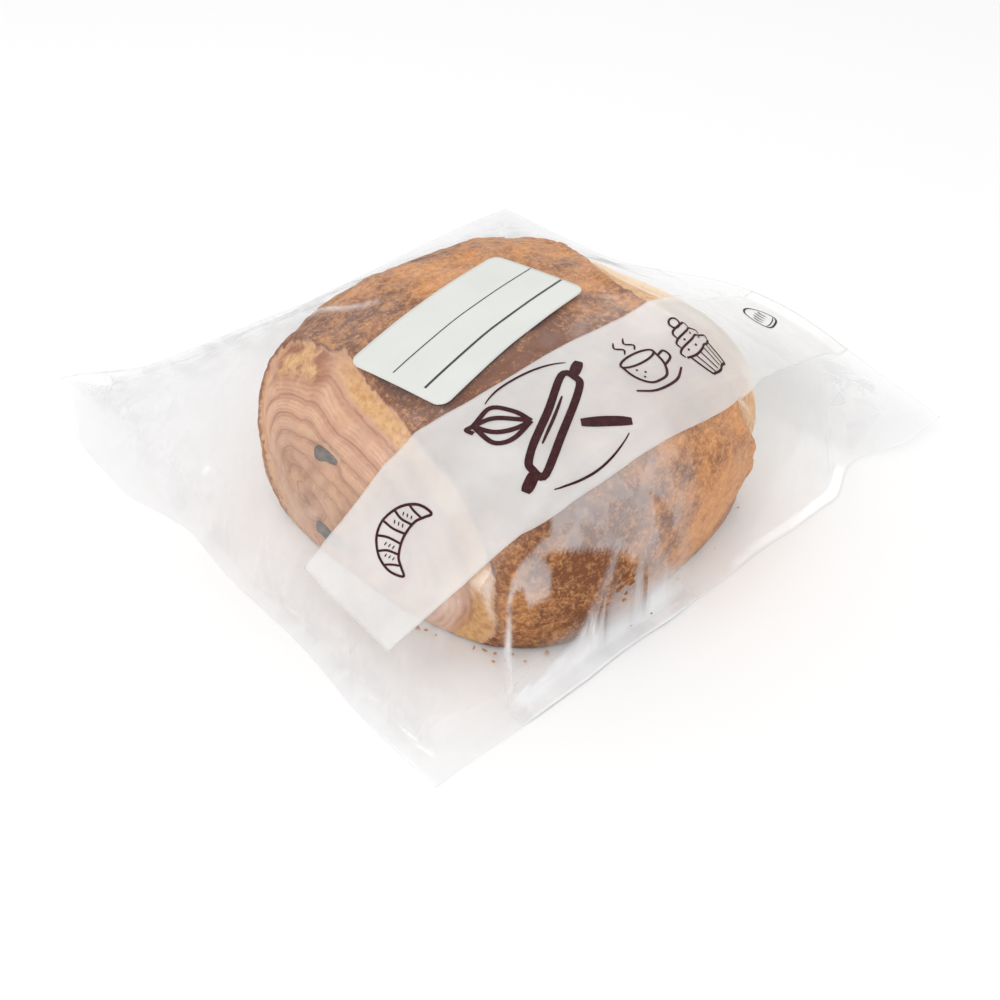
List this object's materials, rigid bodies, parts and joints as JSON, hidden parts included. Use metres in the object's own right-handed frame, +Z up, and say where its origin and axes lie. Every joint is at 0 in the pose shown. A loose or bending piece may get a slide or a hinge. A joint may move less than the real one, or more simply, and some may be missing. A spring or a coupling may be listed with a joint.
{
  "type": "pain au chocolat in a film bag",
  "caption": "Rolled chocolate pastry lying in a sealed clear film bag, with a printed paper band across it and a blank white label on top.",
  "frame": {"origin": "middle of the box round the bag, on the surface it lies on", "axes": "+X along the pastry's roll and the band, from one heat seal to the other; +Y from the front fold to the back fold; +Z up"},
  "size_m": [0.1906, 0.1876, 0.0569],
  "materials": {
    "film": "clear slightly hazy film, wrinkled",
    "band_paper": "thin translucent paper with dark brown line print",
    "label_paper": "smooth white label paper with two ruled lines",
    "crust": "baked laminated pastry, blistered brown crust and golden layered ends",
    "chocolate": "dark chocolate, dull"
  },
  "bodies": {
    "root": {"bag": "film", "band": "band_paper", "label": "label_paper"}
  },
  "joints": []
}
